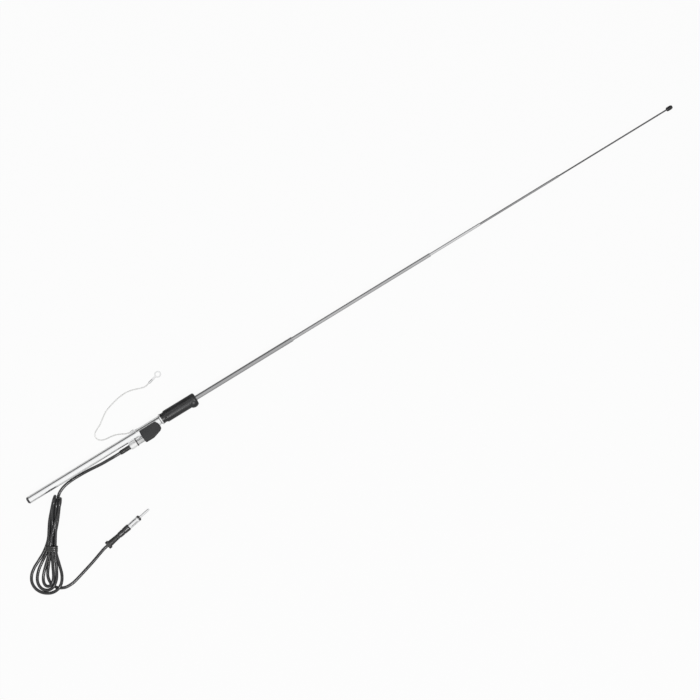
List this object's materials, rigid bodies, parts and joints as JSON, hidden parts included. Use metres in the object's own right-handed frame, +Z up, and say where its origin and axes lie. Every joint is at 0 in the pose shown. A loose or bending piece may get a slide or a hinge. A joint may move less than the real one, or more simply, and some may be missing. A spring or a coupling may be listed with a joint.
{
  "type": "car mast aerial",
  "caption": "Telescopic car mast aerial lying part drawn out, with a black top insulator, side feed, earth wire and a tied coaxial lead with its plug.",
  "frame": {"origin": "middle of the aerial's length and width on the ground under it, without the lead, the earth wire and what is on them", "axes": "+X along the mast to its tip, +Y to the side of the earth wire, +Z up"},
  "size_m": [1.0355, 0.1808, 0.016],
  "materials": {
    "black_plastic": "moulded, satin",
    "case_chrome": "bright plated steel, polished",
    "mast_chrome": "bright plated tube, drawn lengthwise",
    "natural_plastic": "unfilled moulding",
    "insulator_black": "moulded black, fine grain",
    "cover_black": "moulded black, satin",
    "brass": "turned",
    "nickel": "nickel plated, bright",
    "black_rubber": "smooth",
    "bright_aluminium": "bright turned",
    "tin_plate": "tinned sheet",
    "bead_black": "glossy",
    "lead_black": "extruded jacket, satin",
    "tie_black": "extruded",
    "grip_black": "soft moulding",
    "body_black": "glossy moulding",
    "wire_grey": "extruded jacket"
  },
  "bodies": {
    "case": {"end_plug": "black_plastic", "case_tube": "case_chrome", "liner": "natural_plastic", "upper_sleeve": "case_chrome", "seat_washer": "case_chrome", "insulator": "insulator_black", "contact_tube": "brass", "feed_pin": "brass", "feed_bead": "natural_plastic", "feed_socket": "nickel", "feed_cover": "cover_black", "ring_gasket": "black_rubber", "union_nut": "bright_aluminium", "cable_boot": "black_rubber", "earth_tag": "tin_plate", "coax_lead": "lead_black", "coax_hank": "lead_black", "coax_tail": "lead_black", "hank_tie": "tie_black", "plug_grip": "grip_black", "plug_body": "body_black", "plug_sleeve": "nickel", "plug_core": "black_plastic", "plug_pin": "nickel", "earth_wire": "wire_grey", "ring_terminal": "tin_plate"},
    "section_1": {"mast_1": "mast_chrome", "shoe_1": "brass"},
    "section_2": {"mast_2": "mast_chrome", "shoe_2": "brass"},
    "section_3": {"mast_3": "mast_chrome", "shoe_3": "brass"},
    "section_4": {"mast_4": "mast_chrome", "shoe_4": "brass"},
    "section_5": {"mast_5": "mast_chrome", "shoe_5": "brass", "tip_bead": "bead_black"}
  },
  "joints": [
    {"name": "draw_1", "type": "slide", "parent": "case", "child": "section_1", "axis": [1, 0, 0], "range_m": [-0.1465, 0.0835]},
    {"name": "draw_2", "type": "slide", "parent": "section_1", "child": "section_2", "axis": [1, 0, 0], "range_m": [-0.2095, 0.0165]},
    {"name": "draw_3", "type": "slide", "parent": "section_2", "child": "section_3", "axis": [1, 0, 0], "range_m": [-0.0755, 0.1405]},
    {"name": "draw_4", "type": "slide", "parent": "section_3", "child": "section_4", "axis": [1, 0, 0], "range_m": [-0.1195, 0.0865]},
    {"name": "draw_5", "type": "slide", "parent": "section_4", "child": "section_5", "axis": [1, 0, 0], "range_m": [-0.1635, 0.0325]}
  ]
}
